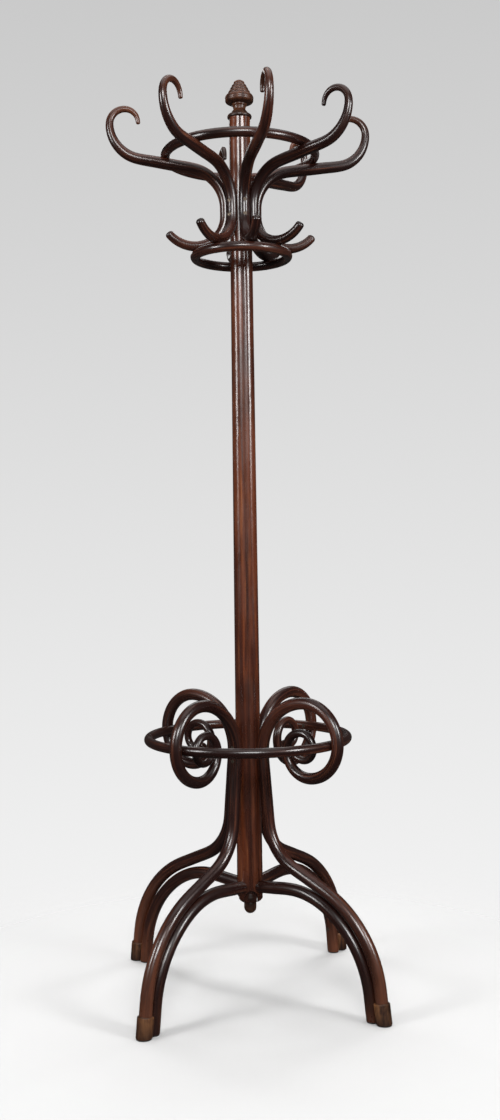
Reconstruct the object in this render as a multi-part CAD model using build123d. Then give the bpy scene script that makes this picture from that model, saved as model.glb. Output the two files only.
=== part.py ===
"""Bentwood hat, coat and umbrella stand: a four-lobed column on four paired bentwood legs.

Millimetres, +Z up, origin on the floor at the column's axis, legs along +X, -X, +Y and -Y.
Every bent rod lies in an upright plane through the axis: its path is given there as (r, z)
with straight runs and tangent arcs, and the rod is then turned to its place.
"""
import math
import os
from build123d import *

os.makedirs("parts", exist_ok=True)

# Overall
HEIGHT = 2000.0
LEG_ANGLES = [0, 90, 180, 270]
HOOK_ANGLES = [1, 48, 96, 138, 228, 276, 320.8]  # set by hand: seven hooks, and one place left empty

# Column: four rounded lobes, tapering upwards
COLUMN_BOTTOM = 196.0
COLUMN_TOP = 1915.0
CREST_BOTTOM = 30.3
CREST_TOP = 24.9
LOBE_SHARE = 0.72  # lobe radius as a share of the crest radius
COLUMN_END_ROUND = 18.0
DROP_ARCH_RADIUS = 14.0
DROP_ARCH_HEIGHT = 211.0

# Finial and pendant drop
CAP_RIM_Z = 1952.0
CAP_RIM_RADIUS = 31.0
NECK_RADIUS = 14.5
COLLAR_RADIUS = 26.5
COLLAR_TOP = 1929.0
DROP_RADIUS = 14.5
DROP_BOTTOM = 169.5
DROP_TOP = 223.5
BALL_Z = 209.0
KNOB_Z = 183.0
DOWEL_RADIUS = 6.0

# Hooks
HOOK_AXIS = 34.6
HOOK_WAIST_Z = 1710.0
HOOK_RADIUS = 11.6
HOOK_UP = [(10, 0), (84, -82), (115, 0), (73, 82), (34, 90), (27, 80), (9, 0)]
HOOK_DOWN = [(8, 0), (68, 90), (74, 52)]
LOWER_TIP_ROUND = 6.5
UPPER_TIP_ROUND = 3.2
HOOK_TAPER = [(0, 9.3), (0.12, 11), (0.3, 11.6), (0.42, 12.4), (0.6, 12.6), (0.74, 11.2),
              (0.86, 8.2), (0.95, 6.2), (1, 4.6)]

# Rings
HAT_RING_RADIUS = 163.7
HOOK_RING_RADIUS = 101.3
UMBRELLA_RING_RADIUS = 217.6
UMBRELLA_RING_Z = 558.0
HOOP_RADIUS = 10.5
SEAT = 1.0  # how deep a ring is let into a rod
BUTT_ANGLE = 160
BUTT_GAP = 0.2
HOOP_SECTIONS = 24

# Legs: an outer rod from foot to scroll and an inner arch beside it
FOOT_LEAN = 97
LEG_FOOT = 345.0
LEG_RADIUS = 13.5
LEG_RISE = [(58.6, 0), (231.8, 59.4), (85, 0), (112.8, -61), (139.5, 0)]
LEG_SCROLL = [(115, -95.4), (83, -90), (76, -90), (57, -90), (38, -90), (32, -90), (26, -90), (34, -44)]
LEG_TAPER = [(0, LEG_RADIUS), (0.5, LEG_RADIUS), (0.72, 12.8), (0.8, 12.4), (0.87, 9.9), (0.92, 8.5), (1, 8)]
SCROLL_TIP_ROUND = 4.0
ARCH_FOOT = 318.0
ARCH_RADIUS = 13.5
ARCH_MOVES = [(52, 0), (222, 51.4), (176, 37), (75, 0)]
ARCH_DOWEL_RADIUS = 4.0

# Feet
PAD_THICKNESS = 3.0
SHOE_RADIUS = 17.0
SHOE_HEIGHT = 47.0
SHOE_FLOOR = 9.0
SHOE_EDGE = 2.5

# Screws and the longest step between two sections of a rod
SCREW_HEAD = 4.0
SCREW_SHANK = 2.0
SCREW_CONE = 2.4
SLOT = 0.9
HEAD_SINK = 0.4
MOUTH = 3.0
LEG_SCREW_Z = 512.0
FOOT_SCREW_Z = 60.0
MAX_TURN = math.radians(15)
MAX_GAP = 32.0


def stations(start, heading, moves):
    """(r, z, heading, distance) along a path; a move is (length, 0) or (radius, turn in degrees)."""
    r, z = start
    angle = math.radians(heading)
    found = [(r, z, angle, 0.0)]
    for size, degrees in moves:
        turn = math.radians(degrees)
        length = abs(size * turn) if turn else size
        count = math.ceil(max(abs(turn) / MAX_TURN, length / MAX_GAP))
        half = turn / count / 2
        chord = 2 * size * math.sin(abs(half)) if turn else size / count
        for _ in range(count):
            r += chord * math.cos(angle + half)
            z += chord * math.sin(angle + half)
            angle += 2 * half
            found.append((r, z, angle, found[-1][3] + length / count))
    return found


def radius_at(share, taper):
    """The rod's radius at a share of its length, from the taper's (share, radius) pairs."""
    for (s0, r0), (s1, r1) in zip(taper, taper[1:]):
        if share <= s1:
            return r0 + (r1 - r0) * max(0.0, share - s0) / (s1 - s0)
    return taper[-1][1]


def bent_rod(marks, taper):
    """A round rod through the stations of its path, in the XZ plane."""
    total = marks[-1][3]
    sections = []
    for r, z, angle, distance in marks:
        across = Plane(origin=(r, 0, z), x_dir=(0, 1, 0), z_dir=(math.cos(angle), 0, math.sin(angle)))
        sections.append(across * Circle(radius_at(distance / total, taper)))
    return loft(sections)


def round_end(body, r, z, size):
    """Rounds the edge of the rod's end face that is nearest to (r, z)."""
    end = body.faces().sort_by_distance((r, 0, z))[0]
    return fillet(end.edges(), size)


def turned(body, degrees):
    """The body turned about the column's axis."""
    return Rot(0, 0, degrees) * body


def hoop(radius, thickness, height):
    """A bentwood ring: one round rod whose two ends meet at a butt joint."""
    whole = 2 * math.pi - BUTT_GAP / radius
    sections = []
    for n in range(HOOP_SECTIONS + 1):
        angle = math.radians(BUTT_ANGLE) + BUTT_GAP / radius / 2 + whole * n / HOOP_SECTIONS
        centre = (radius * math.cos(angle), radius * math.sin(angle), height)
        along = (-math.sin(angle), math.cos(angle), 0)
        sections.append(Plane(origin=centre, x_dir=(0, 0, 1), z_dir=along) * Circle(thickness))
    return loft(sections)


def spindle(points):
    """A turned piece from an outline of lines and arcs: (x, z) or (x, z, bulge)."""
    with BuildPart() as turning:
        with BuildSketch(Plane.XZ):
            with BuildLine():
                for (x0, z0, *_), (x1, z1, *bulge) in zip(points, points[1:]):
                    if bulge:
                        SagittaArc((x0, z0), (x1, z1), bulge[0])
                    else:
                        Line((x0, z0), (x1, z1))
                Line(points[-1][:2], points[0][:2])
            make_face()
        revolve(axis=Axis.Z)
    return turning.part


def dome(x, height):
    """The bulge of an arc that meets the axis squarely, as a share of a ball does."""
    chord = math.hypot(x, height)
    ball = chord ** 2 / (2 * height)
    return ball - math.sqrt(ball ** 2 - chord ** 2 / 4)


def crest(z):
    """The column's crest radius at a height."""
    share = (z - COLUMN_BOTTOM) / (COLUMN_TOP - COLUMN_BOTTOM)
    return CREST_BOTTOM + (CREST_TOP - CREST_BOTTOM) * share


def lobed_face(z):
    """The column's section: four arcs whose crests face the legs."""
    outer = crest(z)
    lobe = LOBE_SHARE * outer
    offset = outer - lobe
    valley = offset * math.sqrt(0.5) + math.sqrt(lobe ** 2 - offset ** 2 / 2)
    arcs = []
    for angle in LEG_ANGLES:
        ends = [Vector(valley, 0).rotate(Axis.Z, angle + side) for side in (-45, 45)]
        arcs.append(ThreePointArc(ends[0], Vector(outer, 0).rotate(Axis.Z, angle), ends[1]))
    return Pos(0, 0, z) * make_face(Curve() + arcs)


def make_column():
    """The lobed column, rounded at its foot, with an arched notch at the end of each groove."""
    body = loft([lobed_face(COLUMN_BOTTOM), lobed_face(COLUMN_TOP)])
    wide = CREST_BOTTOM + 1
    envelope = spindle([(0, COLUMN_BOTTOM), (DROP_RADIUS + 1.5, COLUMN_BOTTOM),
                        (wide, COLUMN_BOTTOM + COLUMN_END_ROUND, -4.5), (wide, COLUMN_TOP), (0, COLUMN_TOP)])
    body = body & envelope
    depth = wide - DROP_RADIUS + 1
    for angle in LEG_ANGLES:
        notch = Pos(wide, 0, DROP_ARCH_HEIGHT) * Rot(0, 90, 0) * Cylinder(DROP_ARCH_RADIUS, 2 * depth)
        notch += Pos(wide, 0, DROP_ARCH_HEIGHT - depth) * Box(2 * depth, 2 * DROP_ARCH_RADIUS, 2 * depth)
        body -= turned(notch, angle + 45)
    return body


def make_finial():
    """The ringed acorn cap and its neck."""
    steps = [(0, HEIGHT), (8.5, HEIGHT - 3.2, dome(8.5, 3.2)), (12, 1991, 1.4), (13.8, 1989),
             (16.2, 1984, 1.2), (17.6, 1982.4), (20, 1977, 1.2), (21.4, 1975.4), (24, 1969.6, 1.2),
             (26.2, 1967.6),
             (CAP_RIM_RADIUS, 1956.5, 2.2), (CAP_RIM_RADIUS - 4, CAP_RIM_Z - 2.5, 1.6),
             (NECK_RADIUS + 2, CAP_RIM_Z - 4.5, -0.6), (NECK_RADIUS, CAP_RIM_Z - 10, 1.4),
             (NECK_RADIUS - 1, COLLAR_TOP + 8), (NECK_RADIUS + 1.2, COLLAR_TOP + 3, -0.8),
             (NECK_RADIUS + 3, COLLAR_TOP), (0, COLLAR_TOP)]
    return spindle(steps)


def make_collar():
    """The moulded collar between the finial's neck and the column."""
    steps = [(0, COLLAR_TOP), (NECK_RADIUS + 3.5, COLLAR_TOP), (COLLAR_RADIUS - 3, 1924, -1),
             (COLLAR_RADIUS - 1.5, COLUMN_TOP, 2.6), (0, COLUMN_TOP)]
    return spindle(steps)


def make_drop():
    """The acorn drop under the column: a ball between the notches, a groove and a pointed knob."""
    knob = DROP_RADIUS - 1
    steps = [(0, DROP_TOP), (DROP_RADIUS, BALL_Z, dome(DROP_RADIUS, DROP_TOP - BALL_Z)),
             (DROP_RADIUS - 2, COLUMN_BOTTOM + 0.5, 1.6), (DROP_RADIUS - 2, COLUMN_BOTTOM - 1),
             (knob, COLUMN_BOTTOM - 3, 0.5), (knob, KNOB_Z),
             (0, DROP_BOTTOM, dome(knob, KNOB_Z - DROP_BOTTOM))]
    return spindle(steps)


def screw(length, mouth=0):
    """A countersunk screw, its head's top at the origin facing +Z; a hole for one has a mouth above."""
    profile = [(0, mouth), (SCREW_HEAD, mouth), (SCREW_HEAD, -0.5), (SCREW_SHANK, -SCREW_CONE),
               (SCREW_SHANK, -length + 3), (0, -length)]
    return spindle(profile)


def slotted(body, place):
    """The screw at its place with the slot cut into its head."""
    slot = Box(3 * SCREW_HEAD, SLOT, 2 * SLOT)
    return place * (body - slot)


def radial(angle, r, z, outward):
    """A place for a screw on the radius at an angle, its head facing outward or inward."""
    return Rot(0, 0, angle) * Pos(r, 0, z) * Rot(0, 90 if outward else -90, 0)


def save(name, shape):
    """Writes one node; a group of screws is kept as separate solids."""
    if isinstance(shape, list):
        shape = Compound(children=shape)
    shape.label = name
    export_step(shape, "parts/" + name + ".step")


def height_crossing(marks, z):
    """Where a rising path first reaches a height."""
    for (r0, z0, *_), (r1, z1, *_) in zip(marks, marks[1:]):
        if z0 <= z <= z1:
            return r0 + (r1 - r0) * (z - z0) / (z1 - z0)
    raise ValueError("the path doesn't reach that height")


def below(z):
    """Everything under a height, to trim the feet level."""
    return Pos(0, 0, z - HEIGHT / 2) * Box(HEIGHT, HEIGHT, HEIGHT)


def along_foot(distance):
    """A place on the outer rod's axis at its foot, +Z up the rod."""
    lean = FOOT_LEAN - 90
    return Pos(LEG_FOOT, 0, 0) * Rot(0, -lean, 0) * Pos(0, 0, distance)


# Paths
up_path = stations((HOOK_AXIS, HOOK_WAIST_Z), 90, HOOK_UP)
down_path = stations((HOOK_AXIS, HOOK_WAIST_Z), -90, HOOK_DOWN)
down_length = down_path[-1][3]
hook_path = [(r, z, a + math.pi, down_length - s) for r, z, a, s in reversed(down_path[1:])]
hook_path += [(r, z, a, s + down_length) for r, z, a, s in up_path]
lean = math.radians(FOOT_LEAN)
leg_start = (LEG_FOOT + SHOE_FLOOR * math.cos(lean), SHOE_FLOOR * math.sin(lean))
leg_path = stations(leg_start, FOOT_LEAN, LEG_RISE + LEG_SCROLL)
arch_path = stations((ARCH_FOOT, 0), FOOT_LEAN, ARCH_MOVES)
arm = stations((HOOK_AXIS, HOOK_WAIST_Z), 90, HOOK_UP[:2])[-1]
arm_z = arm[1] + (HAT_RING_RADIUS - arm[0]) * math.tan(arm[2])
hat_ring_z = arm_z + (HOOK_TAPER[4][1] + HOOP_RADIUS) / math.cos(arm[2]) - SEAT
hook_ring_z = min(mark[1] for mark in down_path) - HOOK_TAPER[1][1] - HOOP_RADIUS + SEAT

# Screws: the places and the length of each group
hook_face = HOOK_AXIS + HOOK_RADIUS - HEAD_SINK
ring_top = hat_ring_z + HOOP_RADIUS - HEAD_SINK
ring_under = hook_ring_z - HOOP_RADIUS + HEAD_SINK
ring_inside = UMBRELLA_RING_RADIUS - HOOP_RADIUS + HEAD_SINK
arch_inside = height_crossing(arch_path, FOOT_SCREW_Z) - ARCH_RADIUS + HEAD_SINK
screws = {
    "hook_screws_upper": ([radial(a, hook_face, HOOK_WAIST_Z + 18, True) for a in HOOK_ANGLES], 32),
    "hook_screws_lower": ([radial(a, hook_face, HOOK_WAIST_Z - 12, True) for a in HOOK_ANGLES], 32),
    "hat_ring_screws": ([Rot(0, 0, a) * Pos(HAT_RING_RADIUS, 0, ring_top) for a in HOOK_ANGLES], 32),
    "hook_ring_screws": ([Rot(0, 0, a) * Pos(HOOK_RING_RADIUS, 0, ring_under) * Rot(180, 0, 0)
                          for a in HOOK_ANGLES], 28),
    "umbrella_ring_screws": ([radial(a, ring_inside, UMBRELLA_RING_Z, False) for a in LEG_ANGLES], 28),
    "foot_screws": ([radial(a, arch_inside, FOOT_SCREW_Z, False) for a in LEG_ANGLES], 32),
}
for name, z in (("leg_screws_upper", LEG_SCREW_Z + 30), ("leg_screws_lower", LEG_SCREW_Z)):
    face = height_crossing(leg_path, z) + LEG_RADIUS - HEAD_SINK
    screws[name] = ([radial(a, face, z, True) for a in LEG_ANGLES], 38)
holes = {name: [place * screw(length, MOUTH) for place in places]
         for name, (places, length) in screws.items()}

# Rings, dowels and turned pieces
hat_ring = hoop(HAT_RING_RADIUS, HOOP_RADIUS, hat_ring_z)
hook_ring = hoop(HOOK_RING_RADIUS, HOOP_RADIUS, hook_ring_z)
umbrella_ring = hoop(UMBRELLA_RING_RADIUS, HOOP_RADIUS, UMBRELLA_RING_Z)
finial_dowel = Pos(0, 0, COLUMN_TOP) * Cylinder(DOWEL_RADIUS, 70)
drop_dowel = Pos(0, 0, DROP_TOP + 10) * Cylinder(DOWEL_RADIUS, 60)
drop = make_drop()
column = make_column() - finial_dowel - drop_dowel - drop
dowel_r = CREST_BOTTOM + 2
dowel_z = arch_path[-1][1] + (dowel_r - arch_path[-1][0]) * math.tan(arch_path[-1][2])
arch_dowels = [turned(Pos(dowel_r, 0, dowel_z) * Rot(0, 90, 0) * Cylinder(ARCH_DOWEL_RADIUS, 30), a)
               for a in LEG_ANGLES]

# Bent rods, let into the column and seated on the rings
hook = bent_rod(hook_path, HOOK_TAPER)
hook = round_end(hook, hook_path[0][0], hook_path[0][1], LOWER_TIP_ROUND)
hook = round_end(hook, hook_path[-1][0], hook_path[-1][1], UPPER_TIP_ROUND)
hook_holes = holes["hook_screws_upper"] + holes["hook_screws_lower"]
hook_holes += holes["hat_ring_screws"] + holes["hook_ring_screws"]
for number, angle in enumerate(HOOK_ANGLES):
    own = hook_holes[number::len(HOOK_ANGLES)]
    save(f"hook_{number + 1}", turned(hook, angle) - column - hat_ring - hook_ring - own)

leg = bent_rod(leg_path, LEG_TAPER)
leg = round_end(leg, leg_path[-1][0], leg_path[-1][1], SCROLL_TIP_ROUND)
arch = bent_rod(arch_path, [(0, ARCH_RADIUS), (1, ARCH_RADIUS)]) - below(PAD_THICKNESS)
arch -= leg
shoe = along_foot(SHOE_HEIGHT / 2 - SHOE_EDGE) * Cylinder(SHOE_RADIUS, SHOE_HEIGHT)
shoe = chamfer(shoe.edges().sort_by(Axis.Z)[-1], SHOE_EDGE)
shoe = shoe - leg - arch - below(PAD_THICKNESS)
pad = Pos(LEG_FOOT, 0, PAD_THICKNESS / 2) * Cylinder(SHOE_RADIUS - 1.5, PAD_THICKNESS)
pad += Pos(ARCH_FOOT, 0, PAD_THICKNESS / 2) * Cylinder(ARCH_RADIUS - 1, PAD_THICKNESS)
leg_groups = ("leg_screws_upper", "leg_screws_lower", "umbrella_ring_screws", "foot_screws")
for number, angle in enumerate(LEG_ANGLES):
    own = [holes[group][number] for group in leg_groups]
    save(f"leg_scroll_{number + 1}", turned(leg, angle) - column - umbrella_ring - own)
    save(f"leg_arch_{number + 1}", turned(arch, angle) - column - own[-1] - arch_dowels[number])
    save(f"foot_block_{number + 1}", turned(shoe, angle))
    save(f"foot_pad_{number + 1}", turned(pad, angle))

column_groups = ("hook_screws_upper", "hook_screws_lower", "leg_screws_upper", "leg_screws_lower")
column_holes = sum((holes[group] for group in column_groups), []) + arch_dowels
save("column", column - column_holes)
save("finial_cap", make_finial() - finial_dowel)
save("finial_collar", make_collar() - finial_dowel)
save("finial_dowel", finial_dowel)
save("acorn_drop", drop - drop_dowel)
save("drop_dowel", drop_dowel)
save("arch_dowels", arch_dowels)
save("hat_ring", hat_ring - holes["hat_ring_screws"])
save("hook_ring", hook_ring - holes["hook_ring_screws"])
save("umbrella_ring", umbrella_ring - holes["umbrella_ring_screws"])
for name, (places, length) in screws.items():
    save(name, [slotted(screw(length), place) for place in places])
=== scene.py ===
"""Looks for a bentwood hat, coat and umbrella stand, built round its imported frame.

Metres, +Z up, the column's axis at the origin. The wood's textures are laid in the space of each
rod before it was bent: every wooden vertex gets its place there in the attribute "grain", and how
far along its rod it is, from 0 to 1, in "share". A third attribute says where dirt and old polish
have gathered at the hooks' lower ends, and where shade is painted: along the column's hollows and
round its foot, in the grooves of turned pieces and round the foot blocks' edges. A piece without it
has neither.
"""
import itertools
import math
import bpy
import numpy as np
from mathutils import Euler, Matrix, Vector

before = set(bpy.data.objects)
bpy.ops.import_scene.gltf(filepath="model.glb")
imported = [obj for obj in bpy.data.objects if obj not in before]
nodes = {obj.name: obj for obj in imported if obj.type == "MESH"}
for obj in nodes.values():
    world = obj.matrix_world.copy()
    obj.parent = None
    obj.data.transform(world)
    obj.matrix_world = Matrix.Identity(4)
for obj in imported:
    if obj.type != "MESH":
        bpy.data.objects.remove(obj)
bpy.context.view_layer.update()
MM = 0.001

# Layout of the stand, in degrees round its axis
HOOK_ANGLES = [1, 48, 96, 138, 228, 276, 320.8]
LEG_ANGLES = [0, 90, 180, 270]
BUTT_ANGLE = 160

# Rod paths in each rod's upright plane, in millimetres and degrees. A rod starts at a radius and a
# height, and each move is a straight run (length, 0) or an arc (radius, turn).
HOOK_WAIST = (34.6, 1710)
HOOK_UP = [(10, 0), (84, -82), (115, 0), (73, 82), (34, 90), (27, 80), (9, 0)]
HOOK_DOWN = [(8, 0), (68, 90), (74, 52)]
FOOT_LEAN = 97
SHOE_FLOOR = 9
LEG_FOOT = 345
LEG_MOVES = [(58.6, 0), (231.8, 59.4), (85, 0), (112.8, -61), (139.5, 0), (115, -95.4), (83, -90),
             (76, -90), (57, -90), (38, -90), (32, -90), (26, -90), (34, -44)]
ARCH_FOOT = 318
ARCH_MOVES = [(52, 0), (222, 51.4), (176, 37), (75, 0)]
PATH_STEP = 2.0
VERTICES_AT_ONCE = 4000

# Where shade is painted, and where a hook's end is dirty: heights of turned grooves and widths of the
# painted shade in metres, the width of a hollow in radians and the strength of its painted shade, and
# the dark end of a hook as a share of its length
TURNED_GROOVES = {
    "finial_cap": [1.9895, 1.9828, 1.9758, 1.968, 1.9475],
    "finial_collar": [1.929, 1.9165],
    "acorn_drop": [0.1945],
}
GROOVE_WIDTH = 0.0013
HOLLOW_WIDTH = 0.08
# Strength of the painted shade along the column's hollows
HOLLOW_SHADE = 0.4
COLUMN_FOOT = 0.055
BLOCK_EDGE = 0.003
HOOK_END = 0.008

# Where a rod is worn lighter, in shares of its length, and how much lighter. Towards the legs' feet
# the lightening is also painted light, a sheen that the lamps don't give. Hooks are worn only at their
# curls and legs lightened only at their feet, so their shares stop short of the other end.
FOOT_WEAR_AND_LIGHT_TO = 0.25
FOOT_WEAR_AND_LIGHT = 0.6
WORN_TIP_FROM = 0.8
WORN_TIP = 0.5
HOOK_LOWEST_SHARE = 0.24
LEG_HIGHEST_SHARE = 0.8
UNWORN_SHARE = 0.3

# The wood's textures: features to the metre across and along the grain, detail, roughness, distortion
CLOUD = (14, 2.6, 4, 0.55, 0.0)
BAND = (110, 3, 3, 0.55, 0.8)
STREAK = (420, 9, 4, 0.6, 0.4)
FLECK = (1500, 130, 2, 0.5, 0.0)
RUBBED = (60, 22, 4, 0.6, 0.0)
STAIN = (7, 5, 3, 0.5, 0.0)
SMUDGE = (35, 12, 4, 0.6, 0.0)
WAVE = (26, 9, 2, 0.5, 0.0)
GRAIN_SHIFT = np.array([0.37, 0.61, 1.73])

# Where each noise begins to show and shows fully, and how strongly. The middle tone shows sooner in
# warmer wood, and the streaks follow the tone: only a few show where it is dark.
MIDDLE_SHOWS = (0.60, 0.74)
WARMING = 0.2
STREAK_SHOWS = (0.5, 0.72)
STREAK_TONES = (0.42, 0.64)
STREAK_IN_DARK = 0.15
FLECK_SHOWS = (0.6, 0.72)
FLECK_STRENGTH = 0.55
RUBBED_SHOWS = (0.46, 0.66)
# Clouds of wear at the hooks' curls, and of wear with painted light at the legs' feet
WEAR_AND_LIGHT_SHOWS = (0.3, 0.6)
STAIN_SHOWS = (0.5, 0.66)
STAIN_STRENGTH = 0.5
DIRT_AND_SHADE_STRENGTH = 0.8
DEEPEST = 0.35

# Polish, and bumps as a strength and a height in metres
SMUDGE_SHOWS = (0.3, 0.7)
GLOSS_SPREAD = 0.13
POLISH_IOR = 1.45
COAT_ROUGHNESS = 0.22
WAVE_BUMP = (0.16, 0.002)
STREAK_BUMP = (0.03, 0.0001)
FLECK_BUMP = (0.06, 0.0001)

# Steel and pads: features to the metre, detail and roughness
RUST = (900, 4, 0.6)
DUST = (240, 5, 0.6)
DUST_BUMP = (0.3, 0.0004)

# Camera: azimuth in degrees, tilt and roll in radians, distance along the floor from the axis in
# metres, lens and sensor in millimetres
CAMERA_AZIMUTH = 38.42
CAMERA_DISTANCE = 2.750
CAMERA_ASIDE = 0.0098
CAMERA_HEIGHT = 0.9797
CAMERA_DOWN = 0.0114
CAMERA_ROLL = -0.0137
LENS = 40.18
SENSOR = 36.0

# Stage: greys of the backdrop are 8-bit display values, and its reach is the rise of a sight line
FLOOR_RADIUS = 9.0
FLOOR_GREY = 0.57
FADE_FROM = 0.3
FADE_TO = 1.15
BACKDROP_REACH = 0.42
BACKDROP_LOW = 249
BACKDROP_HIGH = 199
DISPLAY_GAMMA = 2.2
AMBIENT = 0.26
ROOM_REFLECTION = 0.035
ROOM_COLOUR = (1.0, 0.98, 0.96)


# --- Rod space -----------------------------------------------------------------------------

def path_points(start, heading, moves):
    """Points close together along a rod's path: r, z, heading and distance, in metres and radians."""
    r, z = start
    angle = math.radians(heading)
    distance = 0.0
    found = [(r, z, angle, distance)]
    for size, degrees in moves:
        turn = math.radians(degrees)
        length = abs(size * turn) if turn else size
        count = math.ceil(length / PATH_STEP)
        for _ in range(count):
            half = turn / count / 2
            r += length / count * math.cos(angle + half)
            z += length / count * math.sin(angle + half)
            angle += 2 * half
            distance += length / count
            found.append((r, z, angle, distance))
    points = np.array(found)
    points[:, [0, 1, 3]] *= MM
    return points


def whole_hook_path():
    """A hook's path from its lower end to its curl, joined from the two that leave its waist."""
    up = path_points(HOOK_WAIST, 90, HOOK_UP)
    down = path_points(HOOK_WAIST, -90, HOOK_DOWN)
    climb = down[:0:-1].copy()
    climb[:, 2] += math.pi
    climb[:, 3] = down[-1, 3] - climb[:, 3]
    up[:, 3] += down[-1, 3]
    return np.concatenate([climb, up])


def leg_rod_path():
    """A leg's outer rod, from the floor of the hole in its foot block to the end of its scroll."""
    lean = math.radians(FOOT_LEAN)
    start = (LEG_FOOT + SHOE_FLOOR * math.cos(lean), SHOE_FLOOR * math.sin(lean))
    return path_points(start, FOOT_LEAN, LEG_MOVES)


def bent_grain(co, points, angle):
    """Each vertex's place across and along its rod, and its share of the rod's length."""
    turn = math.radians(angle)
    r = co[:, 0] * math.cos(turn) + co[:, 1] * math.sin(turn)
    across = -co[:, 0] * math.sin(turn) + co[:, 1] * math.cos(turn)
    z = co[:, 2]
    grain = np.empty((len(co), 3))
    share = np.empty(len(co))
    for low in range(0, len(co), VERTICES_AT_ONCE):
        part = slice(low, low + VERTICES_AT_ONCE)
        gap_r = r[part, None] - points[None, :, 0]
        gap_z = z[part, None] - points[None, :, 1]
        near = np.argmin(gap_r ** 2 + gap_z ** 2, axis=1)
        row = np.arange(len(near))
        off_r, off_z = gap_r[row, near], gap_z[row, near]
        heading = points[near, 2]
        along = off_r * np.cos(heading) + off_z * np.sin(heading)
        outward = -off_r * np.sin(heading) + off_z * np.cos(heading)
        grain[part] = np.stack([outward, across[part], points[near, 3] + along], axis=1)
        share[part] = points[near, 3] / points[-1, 3]
    return grain, share


def hoop_grain(co):
    """Rod space of a ring, from one side of its butt joint round to the other."""
    reach = np.hypot(co[:, 0], co[:, 1])
    radius = (reach.min() + reach.max()) / 2
    level = (co[:, 2].min() + co[:, 2].max()) / 2
    angle = np.mod(np.arctan2(co[:, 1], co[:, 0]) - math.radians(BUTT_ANGLE), 2 * math.pi)
    return np.stack([reach - radius, co[:, 2] - level, angle * radius], axis=1)


# --- Painted shade ---------------------------------------------------------------------------

def fall(distance, width):
    """One at no distance, falling smoothly to nothing over about twice the width."""
    return np.exp(-(distance / width) ** 2)


def turned_groove_shade(co, grooves):
    """Painted shade in the grooves of a turned piece, given their heights."""
    return np.max([fall(co[:, 2] - z, GROOVE_WIDTH) for z in grooves], axis=0)


def column_shade(co):
    """Painted shade along the hollows between the column's lobes, and round its foot."""
    quarter = math.pi / 2
    from_hollow = np.abs(np.mod(np.arctan2(co[:, 1], co[:, 0]), quarter) - quarter / 2)
    # Painted shade round the column's foot
    foot = fall(co[:, 2] - co[:, 2].min(), COLUMN_FOOT)
    return np.maximum(HOLLOW_SHADE * fall(from_hollow, HOLLOW_WIDTH), foot)


def block_edge_shade(co):
    """Painted shade round a foot block's top and bottom edges."""
    low, high = co[:, 2].min(), co[:, 2].max()
    return np.maximum(fall(co[:, 2] - low, BLOCK_EDGE), fall(co[:, 2] - high, BLOCK_EDGE))


# --- The attributes of each wooden piece -------------------------------------------------------

def vertices(name):
    """A node's vertices as an array."""
    mesh = nodes[name].data
    flat = np.empty(len(mesh.vertices) * 3)
    mesh.vertices.foreach_get("co", flat)
    return flat.reshape(-1, 3)


def write_attribute(name, label, values):
    """Stores a vector or a number for each vertex of a node."""
    kind, field = ("FLOAT_VECTOR", "vector") if values.ndim == 2 else ("FLOAT", "value")
    layer = nodes[name].data.attributes.new(label, kind, "POINT")
    layer.data.foreach_set(field, values.astype(np.float32).ravel())


def mark(name, grain, share, dirt_and_shade=None):
    """Stores a piece's attributes. Its grain is shifted, so that no two pieces look alike."""
    write_attribute(name, "grain", grain + GRAIN_SHIFT * next(seeds))
    write_attribute(name, "share", np.full(len(grain), share))
    if dirt_and_shade is not None:
        # The third attribute holds dirt at a hook's end, and painted shade on upright pieces
        write_attribute(name, "dirt_and_shade", dirt_and_shade)


def mark_hook(name, angle):
    """A hook is worn at its curl and dirty at its lower end."""
    grain, share = bent_grain(vertices(name), hook_path, angle)
    mark(name, grain, np.maximum(share, HOOK_LOWEST_SHARE), fall(share, HOOK_END))


def mark_leg_rod(name, points, angle):
    """A leg's rod is worn lighter at its foot, where painted light is laid too."""
    grain, share = bent_grain(vertices(name), points, angle)
    mark(name, grain, np.minimum(share, LEG_HIGHEST_SHARE))


def mark_upright(name, dirt_and_shade=None):
    """The grain runs straight up a turned or sawn piece, whose painted shade is worked out by a function.
    """
    co = vertices(name)
    mark(name, co, UNWORN_SHARE, dirt_and_shade(co) if dirt_and_shade else None)


seeds = itertools.count(1)
hook_path = whole_hook_path()
leg_path = leg_rod_path()
arch_path = path_points((ARCH_FOOT, 0), FOOT_LEAN, ARCH_MOVES)
for number, angle in enumerate(HOOK_ANGLES, 1):
    mark_hook(f"hook_{number}", angle)
for number, angle in enumerate(LEG_ANGLES, 1):
    mark_leg_rod(f"leg_scroll_{number}", leg_path, angle)
    mark_leg_rod(f"leg_arch_{number}", arch_path, angle)
for name in ("hat_ring", "hook_ring", "umbrella_ring"):
    mark(name, hoop_grain(vertices(name)), UNWORN_SHARE)
# The column gets painted shade in its hollows and round its foot
mark_upright("column", column_shade)
for name in ("finial_dowel", "drop_dowel", "arch_dowels"):
    mark_upright(name)
for name, grooves in TURNED_GROOVES.items():
    # Turned pieces get painted shade in their grooves
    mark_upright(name, lambda co: turned_groove_shade(co, grooves))
for number in range(1, len(LEG_ANGLES) + 1):
    # Foot blocks get painted shade round their top and bottom edges
    mark_upright(f"foot_block_{number}", block_edge_shade)


# --- Materials -----------------------------------------------------------------------------

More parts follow.
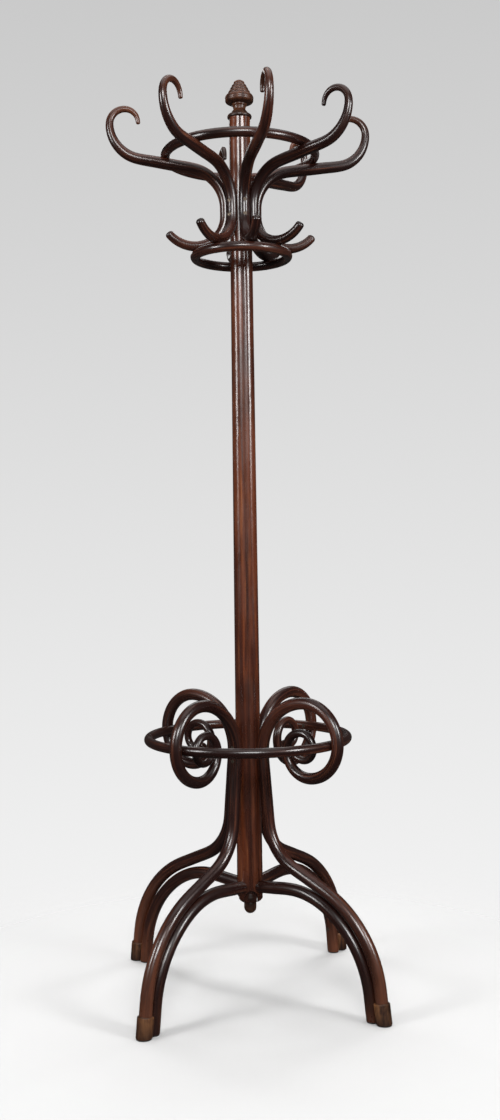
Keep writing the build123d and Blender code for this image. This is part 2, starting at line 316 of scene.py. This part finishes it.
class Tree:
    """A node tree, with short calls for the nodes that the looks are made of."""

    def __init__(self, tree):
        self.nodes = tree.nodes
        self.links = tree.links

    def node(self, kind, **settings):
        """A new node with its settings."""
        made = self.nodes.new(kind)
        for key, value in settings.items():
            setattr(made, key, value)
        return made

    def fill(self, socket, value):
        """Gives a socket another node's output, or a number, vector or opaque colour of its own."""
        if isinstance(value, bpy.types.NodeSocket):
            self.links.new(value, socket)
        elif socket.type == "RGBA":
            socket.default_value = (*value, 1)
        else:
            socket.default_value = value

    def fill_all(self, node, values):
        """Fills several of a node's sockets by name."""
        for name, value in values.items():
            self.fill(node.inputs[name], value)

    def attribute(self, name, output="Vector"):
        """A stored attribute's output."""
        return self.node("ShaderNodeAttribute", attribute_name=name).outputs[output]

    def noise(self, space, scale, detail, roughness, distortion=0.0):
        """Noise in a space, as a factor about one half."""
        made = self.node("ShaderNodeTexNoise")
        self.fill_all(made, {"Vector": space, "Scale": scale, "Detail": detail,
                             "Roughness": roughness, "Distortion": distortion})
        return made.outputs["Fac"]

    def grained(self, space, across, along, detail, roughness, distortion):
        """Noise drawn out along the grain, with its features to the metre across and along it."""
        mapping = self.node("ShaderNodeMapping")
        self.fill_all(mapping, {"Vector": space, "Scale": (across, across, along)})
        return self.noise(mapping.outputs["Vector"], 1.0, detail, roughness, distortion)

    def remap(self, source, low, high, to_low=0.0, to_high=1.0, ease="SMOOTHSTEP"):
        """A factor taken from one range to another."""
        made = self.node("ShaderNodeMapRange", interpolation_type=ease)
        self.fill_all(made, {"Value": source, "From Min": low, "From Max": high,
                             "To Min": to_low, "To Max": to_high})
        return made.outputs["Result"]

    def math(self, operation, a, b):
        """Two factors, or a factor and a number, joined by an operation."""
        made = self.node("ShaderNodeMath", operation=operation)
        self.fill(made.inputs[0], a)
        self.fill(made.inputs[1], b)
        return made.outputs["Value"]

    def blend(self, factor, a, b):
        """A mix of two colours. A mix node's sockets for colours follow those for other kinds."""
        made = self.node("ShaderNodeMix", data_type="RGBA")
        self.fill(made.inputs["Factor"], factor)
        self.fill(made.inputs[6], a)
        self.fill(made.inputs[7], b)
        return made.outputs[2]

    def mix_shaders(self, factor, a, b):
        """A mix of two shaders or backgrounds."""
        made = self.node("ShaderNodeMixShader")
        for socket, value in zip(made.inputs, (factor, a, b)):
            self.fill(socket, value)
        return made.outputs[0]

    def bump(self, height, strength, distance, under=None):
        """A bump, laid over another if one is given."""
        made = self.node("ShaderNodeBump")
        self.fill_all(made, {"Height": height, "Strength": strength, "Distance": distance})
        if under is not None:
            self.fill(made.inputs["Normal"], under)
        return made.outputs["Normal"]


class Shader(Tree):
    """The tree of a new material, whose surface is a Principled shader."""

    def __init__(self, name):
        self.material = bpy.data.materials.new(name)
        self.material.use_nodes = True
        super().__init__(self.material.node_tree)
        self.surface = self.nodes["Principled BSDF"]

    def give(self, name, value):
        """Fills one of the surface's sockets."""
        self.fill(self.surface.inputs[name], value)

    def object_space(self):
        """A piece's own space, in metres."""
        return self.node("ShaderNodeTexCoord").outputs["Object"]


class Wood(Shader):
    """Beech in three tones: streaks and flecks along the grain, cloudy stain and uneven polish."""

    def __init__(self, name, dark, middle, light):
        super().__init__(name)
        self.tones = (dark, middle, light)
        self.deep = tuple(DEEPEST * value for value in dark)
        self.grain = self.attribute("grain")
        self.cloud = self.grained(self.grain, *CLOUD)
        self.streak = self.grained(self.grain, *STREAK)
        self.fleck = self.grained(self.grain, *FLECK)

    def stain(self, warmth):
        """Dark to middle in clouds and bands, more of it middle if warmer, then streaks and flecks."""
        dark, middle, light = self.tones
        band = self.grained(self.grain, *BAND)
        tone = self.math("MULTIPLY", self.math("ADD", self.cloud, band), 0.5)
        start, full = (value - warmth * WARMING for value in MIDDLE_SHOWS)
        colour = self.blend(self.remap(tone, start, full), dark, middle)
        by_tone = self.remap(tone, *STREAK_TONES, to_low=STREAK_IN_DARK)
        bright = self.math("MULTIPLY", self.remap(self.streak, *STREAK_SHOWS), by_tone)
        colour = self.blend(bright, colour, light)
        flecked = self.remap(self.fleck, *FLECK_SHOWS)
        return self.blend(self.math("MULTIPLY", flecked, FLECK_STRENGTH), colour, self.deep)

    def rub(self, colour, wear):
        """Spots that handling has rubbed lighter."""
        rubbed = self.remap(self.grained(self.grain, *RUBBED), *RUBBED_SHOWS)
        return self.blend(self.math("MULTIPLY", rubbed, wear), colour, self.tones[2])

    def lighten_ends(self, colour):
        """Rods are worn lighter towards their ends, in clouds. Towards a leg's foot the lighter colour is
        also painted light.
        """
        share = self.attribute("share", "Fac")
        tip = self.remap(share, WORN_TIP_FROM, 1.0, 0.0, WORN_TIP)
        # Towards a leg's foot: wear, with painted light for a sheen that the lamps don't give
        foot = self.remap(share, 0.0, FOOT_WEAR_AND_LIGHT_TO, FOOT_WEAR_AND_LIGHT, 0.0)
        cloudy = self.remap(self.cloud, *WEAR_AND_LIGHT_SHOWS)
        worn_and_lit = self.math("MULTIPLY", self.math("ADD", tip, foot), cloudy)
        return self.blend(worn_and_lit, colour, self.tones[2])

    def darken(self, colour):
        """Large patches of darker stain, and the stored dirt and painted shade."""
        patch = self.remap(self.grained(self.grain, *STAIN), *STAIN_SHOWS, to_high=STAIN_STRENGTH)
        colour = self.blend(patch, colour, self.deep)
        # Darkens by dirt at the hooks' ends and by painted shade in hollows, grooves and edges
        dirt_and_shade = self.math("MULTIPLY", self.attribute("dirt_and_shade", "Fac"), DIRT_AND_SHADE_STRENGTH)
        return self.blend(dirt_and_shade, colour, self.deep)

    def polish(self, gloss, coat):
        """Uneven gloss over slow waves and open grain. Gloss is the least roughness."""
        smudge = self.grained(self.grain, *SMUDGE)
        self.give("Roughness", self.remap(smudge, *SMUDGE_SHOWS, gloss, gloss + GLOSS_SPREAD))
        self.give("IOR", POLISH_IOR)
        self.give("Coat Weight", coat)
        self.give("Coat Roughness", COAT_ROUGHNESS)
        normal = self.bump(self.grained(self.grain, *WAVE), *WAVE_BUMP)
        normal = self.bump(self.streak, *STREAK_BUMP, normal)
        self.give("Normal", self.bump(self.fleck, *FLECK_BUMP, normal))


def polished_wood(name, dark, middle, light, warmth, wear=0.0, gloss=0.25, coat=0.5):
    """Stained and polished beech, worn, dirty and painted with shade and light where its attributes say
    so.
    """
    wood = Wood(name, dark, middle, light)
    colour = wood.stain(warmth)
    if wear:
        colour = wood.rub(colour, wear)
    wood.give("Base Color", wood.darken(wood.lighten_ends(colour)))
    wood.polish(gloss, coat)
    return wood.material


def aged_steel():
    """Old screw steel, darkened by polish and rust in cloudy patches."""
    dark, bright = (0.035, 0.024, 0.018), (0.17, 0.135, 0.105)
    dull, smooth = 0.62, 0.34
    s = Shader("aged_steel")
    patch = s.noise(s.object_space(), *RUST)
    s.give("Base Color", s.blend(s.remap(patch, 0.4, 0.62), dark, bright))
    s.give("Roughness", s.remap(patch, 0.35, 0.65, dull, smooth))
    s.give("Metallic", 0.85)
    return s.material


def black_pad():
    """Matte black pads, a little dusty."""
    clean, dusty = (0.012, 0.011, 0.010), (0.045, 0.041, 0.037)
    s = Shader("black_pad")
    dust = s.noise(s.object_space(), *DUST)
    s.give("Base Color", s.blend(s.remap(dust, 0.45, 0.75), clean, dusty))
    s.give("Roughness", 0.75)
    s.give("Normal", s.bump(dust, *DUST_BUMP))
    return s.material


bent = polished_wood("bent_beech", (0.0135, 0.0036, 0.0027), (0.054, 0.0140, 0.0074),
                     (0.148, 0.048, 0.021), warmth=0.6)
post = polished_wood("column_beech", (0.042, 0.0098, 0.0048), (0.108, 0.0260, 0.0096),
                     (0.215, 0.070, 0.023), warmth=0.8, gloss=0.22)
lathe = polished_wood("turned_beech", (0.017, 0.0052, 0.0025), (0.058, 0.0178, 0.0074),
                      (0.138, 0.053, 0.021), warmth=0.7, wear=0.3, gloss=0.35, coat=0.15)
block = polished_wood("block_beech", (0.026, 0.0078, 0.0032), (0.120, 0.0430, 0.0130),
                      (0.250, 0.105, 0.036), warmth=0.8, wear=0.6, gloss=0.4, coat=0.1)
bare = polished_wood("bare_beech", (0.28, 0.18, 0.11), (0.45, 0.31, 0.20),
                     (0.55, 0.40, 0.27), warmth=0.7, gloss=0.55)
steel = aged_steel()
pad = black_pad()


def finish_of(name):
    """The material that a node's name calls for."""
    if "screws" in name:
        return steel
    if "dowel" in name:
        return bare
    if name.startswith("foot_block"):
        return block
    if name.startswith("foot_pad"):
        return pad
    if name in TURNED_GROOVES:
        return lathe
    return post if name == "column" else bent


for name, piece in nodes.items():
    piece.data.materials.clear()
    piece.data.materials.append(finish_of(name))


# --- Stage, lights and camera ----------------------------------------------------------------

def display_grey(value):
    """A grey of an 8-bit display value, as a linear colour."""
    return ((value / 255) ** DISPLAY_GAMMA,) * 3


def make_floor():
    """A pale floor that fades into the backdrop a little way from the stand."""
    bpy.ops.mesh.primitive_circle_add(vertices=96, radius=FLOOR_RADIUS, fill_type="NGON")
    floor = bpy.context.object
    floor.name = "floor"
    s = Shader("pale_floor")
    s.give("Base Color", (FLOOR_GREY,) * 3)
    s.give("Roughness", 0.9)
    s.give("Specular IOR Level", 0.1)
    length = s.node("ShaderNodeVectorMath", operation="LENGTH")
    s.fill(length.inputs[0], s.object_space())
    fade = s.remap(length.outputs["Value"], FADE_FROM, FADE_TO)
    clear = s.node("ShaderNodeBsdfTransparent").outputs[0]
    faded = s.mix_shaders(fade, s.surface.outputs[0], clear)
    s.fill(s.nodes["Material Output"].inputs["Surface"], faded)
    floor.data.materials.append(s.material)
    floor.visible_glossy = False


def make_backdrop():
    """A grey backdrop, a little brighter downwards, that lights the stand only gently."""
    world = bpy.data.worlds.new("backdrop")
    bpy.context.scene.world = world
    world.use_nodes = True
    world.node_tree.nodes.clear()
    t = Tree(world.node_tree)
    split = t.node("ShaderNodeSeparateXYZ")
    t.fill(split.inputs[0], t.node("ShaderNodeTexCoord").outputs["Generated"])
    rise = t.remap(split.outputs["Z"], -BACKDROP_REACH, BACKDROP_REACH, ease="LINEAR")
    ramp = t.node("ShaderNodeValToRGB")
    t.fill(ramp.inputs["Fac"], rise)
    ramp.color_ramp.elements[0].color = (*display_grey(BACKDROP_LOW), 1)
    ramp.color_ramp.elements[1].color = (*display_grey(BACKDROP_HIGH), 1)
    seen = t.node("ShaderNodeBackground")
    t.fill(seen.inputs["Color"], ramp.outputs["Color"])
    rays = t.node("ShaderNodeLightPath")
    glow = t.remap(rays.outputs["Is Glossy Ray"], 0.0, 1.0, AMBIENT, ROOM_REFLECTION, ease="LINEAR")
    lit = t.node("ShaderNodeBackground")
    t.fill_all(lit, {"Color": ROOM_COLOUR, "Strength": glow})
    both = t.mix_shaders(rays.outputs["Is Camera Ray"], lit.outputs[0], seen.outputs[0])
    t.fill(t.node("ShaderNodeOutputWorld").inputs["Surface"], both)


def softbox(name, azimuth, distance, height, width, tall, power, aim, mirrored=True):
    """A rectangular softbox, aimed at a height on the axis. Polish shows it only if mirrored.

    Azimuth 0 is on the camera's side of the stand, and positive to the camera's right.
    """
    light = bpy.data.lights.new(name, "AREA")
    light.shape = "RECTANGLE"
    light.size = width
    light.size_y = tall
    light.energy = power
    lamp = bpy.data.objects.new(name, light)
    bpy.context.collection.objects.link(lamp)
    turn = math.radians(CAMERA_AZIMUTH + azimuth)
    lamp.location = (distance * math.sin(turn), -distance * math.cos(turn), height)
    toward = Vector((0, 0, aim)) - lamp.location
    lamp.rotation_euler = toward.to_track_quat("-Z", "Y").to_euler()
    lamp.visible_glossy = mirrored


def make_lights():
    """Three softboxes in front, two above and behind, and hidden lamps for the shadow and the back."""
    softbox("front_softbox", azimuth=4, distance=4.2, height=2.9, width=1.5, tall=1.1, power=128, aim=0.7)
    softbox("right_softbox", azimuth=54, distance=3.2, height=2.05, width=0.7, tall=1.1, power=66, aim=1.2)
    softbox("left_softbox", azimuth=-58, distance=3.2, height=2.05, width=0.7, tall=1.1, power=53, aim=1.2)
    softbox("back_softbox", azimuth=180, distance=2.8, height=2.9, width=2.4, tall=1.0, power=14, aim=0.9)
    softbox("ceiling_softbox", azimuth=0, distance=0.2, height=3.6, width=2.6, tall=2.6, power=20, aim=0.0)
    softbox("overhead_lamp", azimuth=180, distance=0.4, height=4.0, width=0.9, tall=0.9, power=70,
            aim=0.0, mirrored=False)
    for name, azimuth in (("rear_right_lamp", 135), ("rear_left_lamp", -135)):
        softbox(name, azimuth, distance=3.0, height=1.3, width=0.8, tall=1.0, power=26, aim=1.0,
                mirrored=False)


def make_camera():
    """The camera stands in front of the stand, level with its middle."""
    turn = math.radians(CAMERA_AZIMUTH)
    camera = bpy.data.objects.new("camera", bpy.data.cameras.new("camera"))
    bpy.context.collection.objects.link(camera)
    right = Vector((math.cos(turn), math.sin(turn), 0))
    back = Vector((math.sin(turn), -math.cos(turn), 0))
    camera.location = back * CAMERA_DISTANCE + right * CAMERA_ASIDE + Vector((0, 0, CAMERA_HEIGHT))
    level = Euler((math.pi / 2 - CAMERA_DOWN, 0, turn)).to_matrix()
    camera.rotation_euler = (level @ Euler((0, 0, CAMERA_ROLL)).to_matrix()).to_euler()
    camera.data.lens = LENS
    camera.data.sensor_width = SENSOR
    bpy.context.scene.camera = camera


make_floor()
make_backdrop()
make_lights()
make_camera()
bpy.context.scene.view_settings.view_transform = "Standard"
